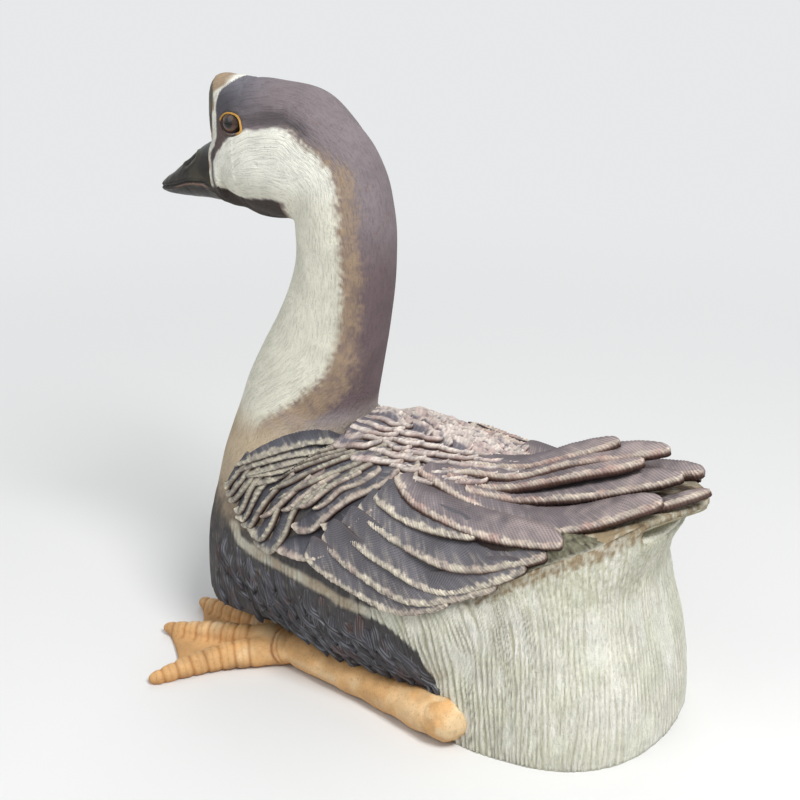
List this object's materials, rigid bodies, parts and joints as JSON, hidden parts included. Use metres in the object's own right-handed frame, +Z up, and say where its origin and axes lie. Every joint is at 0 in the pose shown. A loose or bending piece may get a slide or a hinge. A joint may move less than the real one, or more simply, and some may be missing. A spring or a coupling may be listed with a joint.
{
  "type": "ceramic goose statue",
  "caption": "Fired-clay garden statue of a knobbed goose, sitting with its neck up, its wings folded and its webbed feet spread in front.",
  "frame": {"origin": "on the floor under the middle of the goose's body, in its plane of symmetry", "axes": "the goose faces -Y, its left side is +X, +Z is up and the floor is z = 0"},
  "size_m": [0.326, 0.508, 0.495],
  "materials": {
    "plumage_clay": "matte, brushed oxide washes over incised plumage",
    "feather_clay": "matte, dark slate wash with pale rubbed rims",
    "bill_glaze": "satin glaze",
    "eye_glaze": "gloss glaze",
    "foot_clay": "satin ochre slip"
  },
  "bodies": {
    "root": {"bill_lower": "bill_glaze", "bill_upper": "bill_glaze", "coverts_left": "feather_clay", "coverts_right": "feather_clay", "dewlap": "plumage_clay", "eye_left": "eye_glaze", "eye_right": "eye_glaze", "flank_left": "feather_clay", "flank_right": "feather_clay", "foot_left": "foot_clay", "foot_right": "foot_clay", "head": "plumage_clay", "knob": "bill_glaze", "leg_left": "foot_clay", "leg_right": "foot_clay", "mantle": "feather_clay", "neck_lower": "plumage_clay", "neck_upper": "plumage_clay", "primaries_left": "feather_clay", "primaries_right": "feather_clay", "rump": "plumage_clay", "secondaries_left": "feather_clay", "secondaries_right": "feather_clay", "tail": "feather_clay", "trunk": "plumage_clay"}
  },
  "joints": []
}
